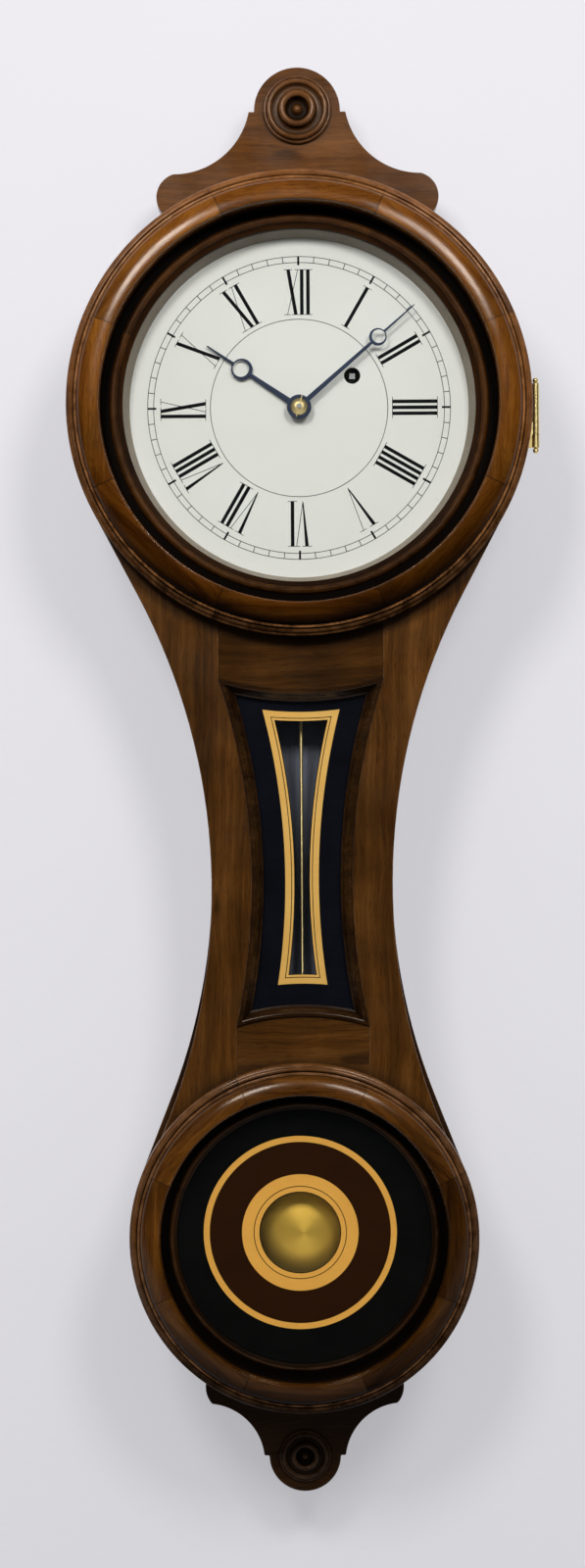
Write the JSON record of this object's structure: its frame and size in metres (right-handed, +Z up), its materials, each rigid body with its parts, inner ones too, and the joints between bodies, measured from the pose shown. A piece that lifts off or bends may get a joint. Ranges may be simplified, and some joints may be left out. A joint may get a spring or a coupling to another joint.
{
  "type": "wall regulator clock",
  "caption": "Weight-driven pendulum wall clock in a figure-eight wooden case with a hinged round door over the dial, a glazed waist and a round lower window over the bob.",
  "frame": {"origin": "centre of the hanger hole, on the plane of the wall", "axes": "+Z up the case, +Y into the wall, +X to the right as seen from the front"},
  "size_m": [0.3619, 0.135, 1.1194],
  "materials": {
    "case_wood": "dark walnut, waxed",
    "ring_wood": "walnut, shellac polished",
    "panel_wood": "walnut, shellac polished",
    "inside_board": "stained softwood, unpolished",
    "glass": "clear flat glass, parts of it painted behind",
    "dial_paint": "off-white enamel paint with black print",
    "hand_steel": "heat-blued steel",
    "brass": "polished and lacquered brass",
    "steel": "plain steel",
    "iron": "black-painted cast iron",
    "cord": "waxed linen cord"
  },
  "bodies": {
    "case": {"backboard": "case_wood", "upper_drum": "case_wood", "lower_drum": "case_wood", "waist_side_left": "case_wood", "waist_side_right": "case_wood", "stile_left": "panel_wood", "stile_right": "panel_wood", "top_rail": "panel_wood", "bottom_rail": "panel_wood", "tablet_moulding": "ring_wood", "waist_glass": "glass", "lower_ring": "ring_wood", "lower_glass": "glass", "lower_glass_retainer": "case_wood", "crest_board": "panel_wood", "bottom_bracket": "panel_wood", "top_rosette": "ring_wood", "bottom_rosette": "ring_wood", "hanger_plate": "steel", "hanger_screws": "steel", "dial_board": "inside_board", "dial_plate": "dial_paint", "dial_screws": "brass", "back_plate": "brass", "front_plate": "brass", "plate_pillars": "brass", "pillar_screws": "steel", "pendulum_cock": "brass", "weight_baffle": "inside_board", "cord_anchor": "steel", "hinge_case_leaf": "brass", "hinge_pin": "brass", "cord": "cord"},
    "door": {"door_ring": "ring_wood", "door_glass": "glass", "door_glass_retainer": "case_wood", "hinge_door_leaf": "brass", "door_catch": "brass"},
    "centre": {"centre_arbor": "steel", "centre_wheel": "brass", "cannon_pinion": "steel", "minute_hand": "hand_steel", "hand_collet": "brass"},
    "hour": {"hour_wheel": "brass", "hour_hand": "hand_steel"},
    "motion_wheel": {"minute_wheel": "brass"},
    "great": {"great_wheel": "brass", "click": "steel"},
    "drum": {"winding_drum": "brass"},
    "third": {"third_wheel": "brass"},
    "escape": {"escape_wheel": "brass"},
    "anchor": {"pallet_anchor": "steel", "crutch": "steel"},
    "pendulum": {"suspension_spring": "steel", "pendulum_rod": "brass", "bob": "brass", "rating_nut": "brass"},
    "driving_weight": {"weight": "iron", "pulley_frame": "brass"},
    "weight_pulley": {"pulley": "brass"}
  },
  "joints": [
    {"name": "door_hinge", "type": "hinge", "parent": "case", "child": "door", "pos_m": [0.1811, -0.108, -0.1593], "axis": [0, 0, 1], "range_deg": [0, 110]},
    {"name": "centre_turn", "type": "hinge", "parent": "case", "child": "centre", "pos_m": [0, -0.083, -0.15], "axis": [0, 1, 0], "continuous": true},
    {"name": "hour_turn", "type": "hinge", "parent": "case", "child": "hour", "pos_m": [0, -0.083, -0.15], "axis": [0, 1, 0], "continuous": true},
    {"name": "motion_turn", "type": "hinge", "parent": "case", "child": "motion_wheel", "pos_m": [-0.01061, -0.069, -0.16061], "axis": [0, 1, 0], "continuous": true},
    {"name": "great_turn", "type": "hinge", "parent": "case", "child": "great", "pos_m": [0.04114, -0.049, -0.12528], "axis": [0, 1, 0], "continuous": true},
    {"name": "third_turn", "type": "hinge", "parent": "case", "child": "third", "pos_m": [-0.02355, -0.042, -0.13141], "axis": [0, 1, 0], "continuous": true},
    {"name": "escape_turn", "type": "hinge", "parent": "case", "child": "escape", "pos_m": [-0.01298, -0.042, -0.10854], "axis": [0, 1, 0], "continuous": true},
    {"name": "pendulum_swing", "type": "hinge", "parent": "case", "child": "pendulum", "pos_m": [0, -0.08, -0.09], "axis": [0, 1, 0], "range_deg": [-2.2, 2.2]},
    {"name": "anchor_rock", "type": "hinge", "parent": "case", "child": "anchor", "pos_m": [0, -0.048, -0.09], "axis": [0, 1, 0], "range_deg": [-2.2, 2.2]},
    {"name": "weight_drop", "type": "slide", "parent": "case", "child": "driving_weight", "axis": [0, 0, -1], "range_m": [0, 0.44], "deforming": ["cord"]},
    {"name": "drum_turn", "type": "hinge", "parent": "case", "child": "drum", "pos_m": [0.04114, -0.049, -0.12528], "axis": [0, 1, 0], "continuous": true},
    {"name": "pulley_turn", "type": "hinge", "parent": "driving_weight", "child": "weight_pulley", "pos_m": [0.00919, -0.0365, -0.26], "axis": [0, 1, 0], "continuous": true}
  ],
  "couplings": [
    {"joint": "hour_turn", "follows": "centre_turn", "ratio": 0.083333},
    {"joint": "motion_turn", "follows": "centre_turn", "ratio": -0.33333},
    {"joint": "great_turn", "follows": "centre_turn", "ratio": -0.071429},
    {"joint": "third_turn", "follows": "centre_turn", "ratio": -9},
    {"joint": "escape_turn", "follows": "centre_turn", "ratio": 72},
    {"joint": "anchor_rock", "follows": "pendulum_swing", "ratio": 1},
    {"joint": "drum_turn", "follows": "weight_drop", "rad_per_m": -167.36},
    {"joint": "pulley_turn", "follows": "weight_drop", "rad_per_m": 50}
  ]
}
